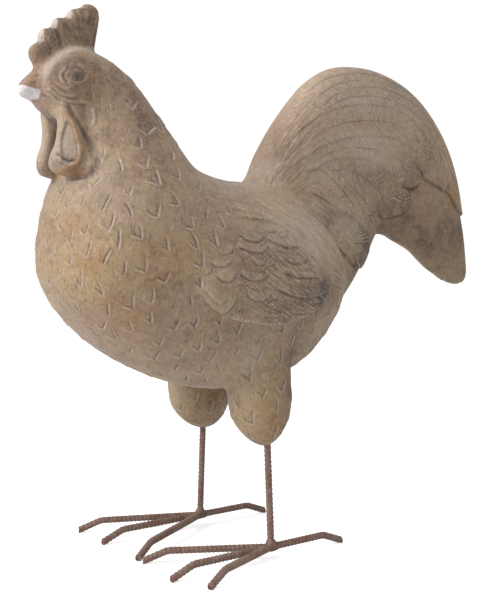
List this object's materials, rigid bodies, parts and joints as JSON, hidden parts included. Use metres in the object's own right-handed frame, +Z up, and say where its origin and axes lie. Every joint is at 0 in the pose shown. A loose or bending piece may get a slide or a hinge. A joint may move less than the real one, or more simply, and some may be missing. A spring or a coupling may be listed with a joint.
{
  "type": "rooster garden figurine",
  "caption": "Standing rooster in cast stone with a raised comb, hanging wattles and a high arched tail, on legs and toes of ribbed steel bar.",
  "frame": {"origin": "middle of the figure's box on the floor that it stands on", "axes": "+Z up; the bird looks along -Y, and its left side is +X"},
  "size_m": [0.2213, 0.5442, 0.5041],
  "materials": {
    "cast_stone": "matt, weathered tan and grey-brown",
    "rusty_steel": "matt, rust brown"
  },
  "bodies": {
    "root": {"body": "cast_stone", "leg_left": "rusty_steel", "toe_left_inner": "rusty_steel", "toe_left_middle": "rusty_steel", "toe_left_outer": "rusty_steel", "toe_left_back": "rusty_steel", "leg_right": "rusty_steel", "toe_right_inner": "rusty_steel", "toe_right_middle": "rusty_steel", "toe_right_outer": "rusty_steel", "toe_right_back": "rusty_steel"}
  },
  "joints": []
}
